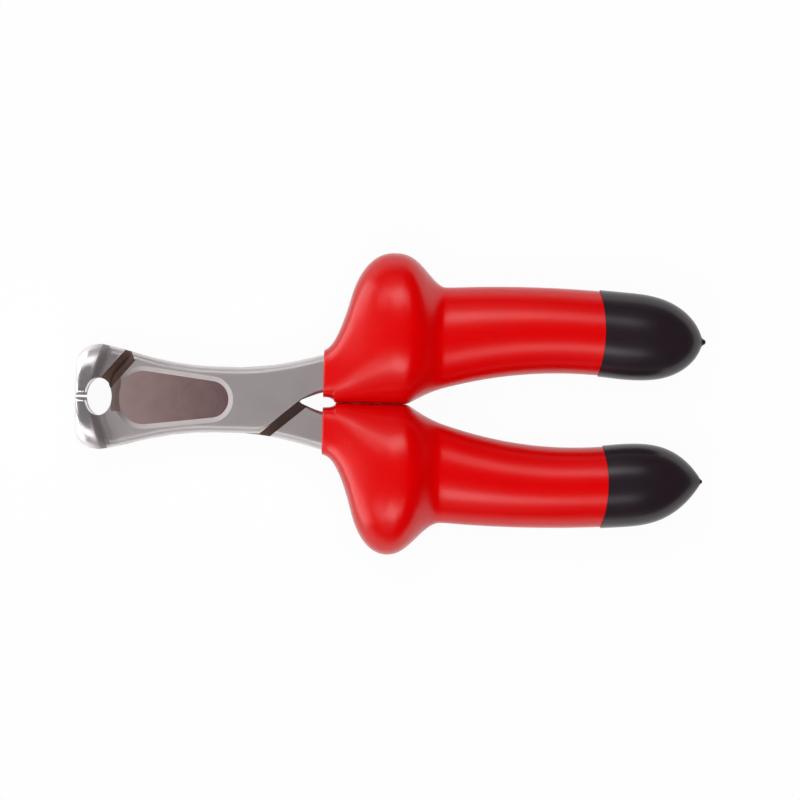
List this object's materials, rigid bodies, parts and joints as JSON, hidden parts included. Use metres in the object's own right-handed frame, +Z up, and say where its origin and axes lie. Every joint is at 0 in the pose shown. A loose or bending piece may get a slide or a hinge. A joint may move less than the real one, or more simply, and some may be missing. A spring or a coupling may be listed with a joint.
{
  "type": "end cutting nippers",
  "caption": "End cutting nippers: lapped forged levers on a rivet, hooked jaws with a throat behind wide cutting edges, and insulated grips with hand guards and dark tips.",
  "frame": {"origin": "middle of the overall length, on the centre line between the levers, in the plane where they lap", "axes": "+X from the jaws towards the handles, +Y across the tool towards the front lever's handle, +Z up out of the front lever's boss; the pivot axis is parallel to Z at x = -48.5 mm"},
  "size_m": [0.16, 0.077, 0.027],
  "materials": {
    "lever_steel": "forged tool steel, ground and satin polished",
    "rivet_steel": "steel, ground flush",
    "inner_coat": "dipped yellow insulating coat, hidden under the grip",
    "grip_red": "glossy soft red vinyl",
    "tip_black": "glossy soft black vinyl"
  },
  "bodies": {
    "rear_half": {"rear_lever": "lever_steel", "pivot_rivet": "rivet_steel", "rear_inner_coat": "inner_coat", "rear_grip": "grip_red", "rear_tip": "tip_black"},
    "front_half": {"front_lever": "lever_steel", "front_inner_coat": "inner_coat", "front_grip": "grip_red", "front_tip": "tip_black"}
  },
  "joints": [
    {"name": "jaw_pivot", "type": "hinge", "parent": "rear_half", "child": "front_half", "pos_m": [-0.0485, 0, 0], "axis": [0, 0, 1], "range_deg": [0, 32]}
  ]
}
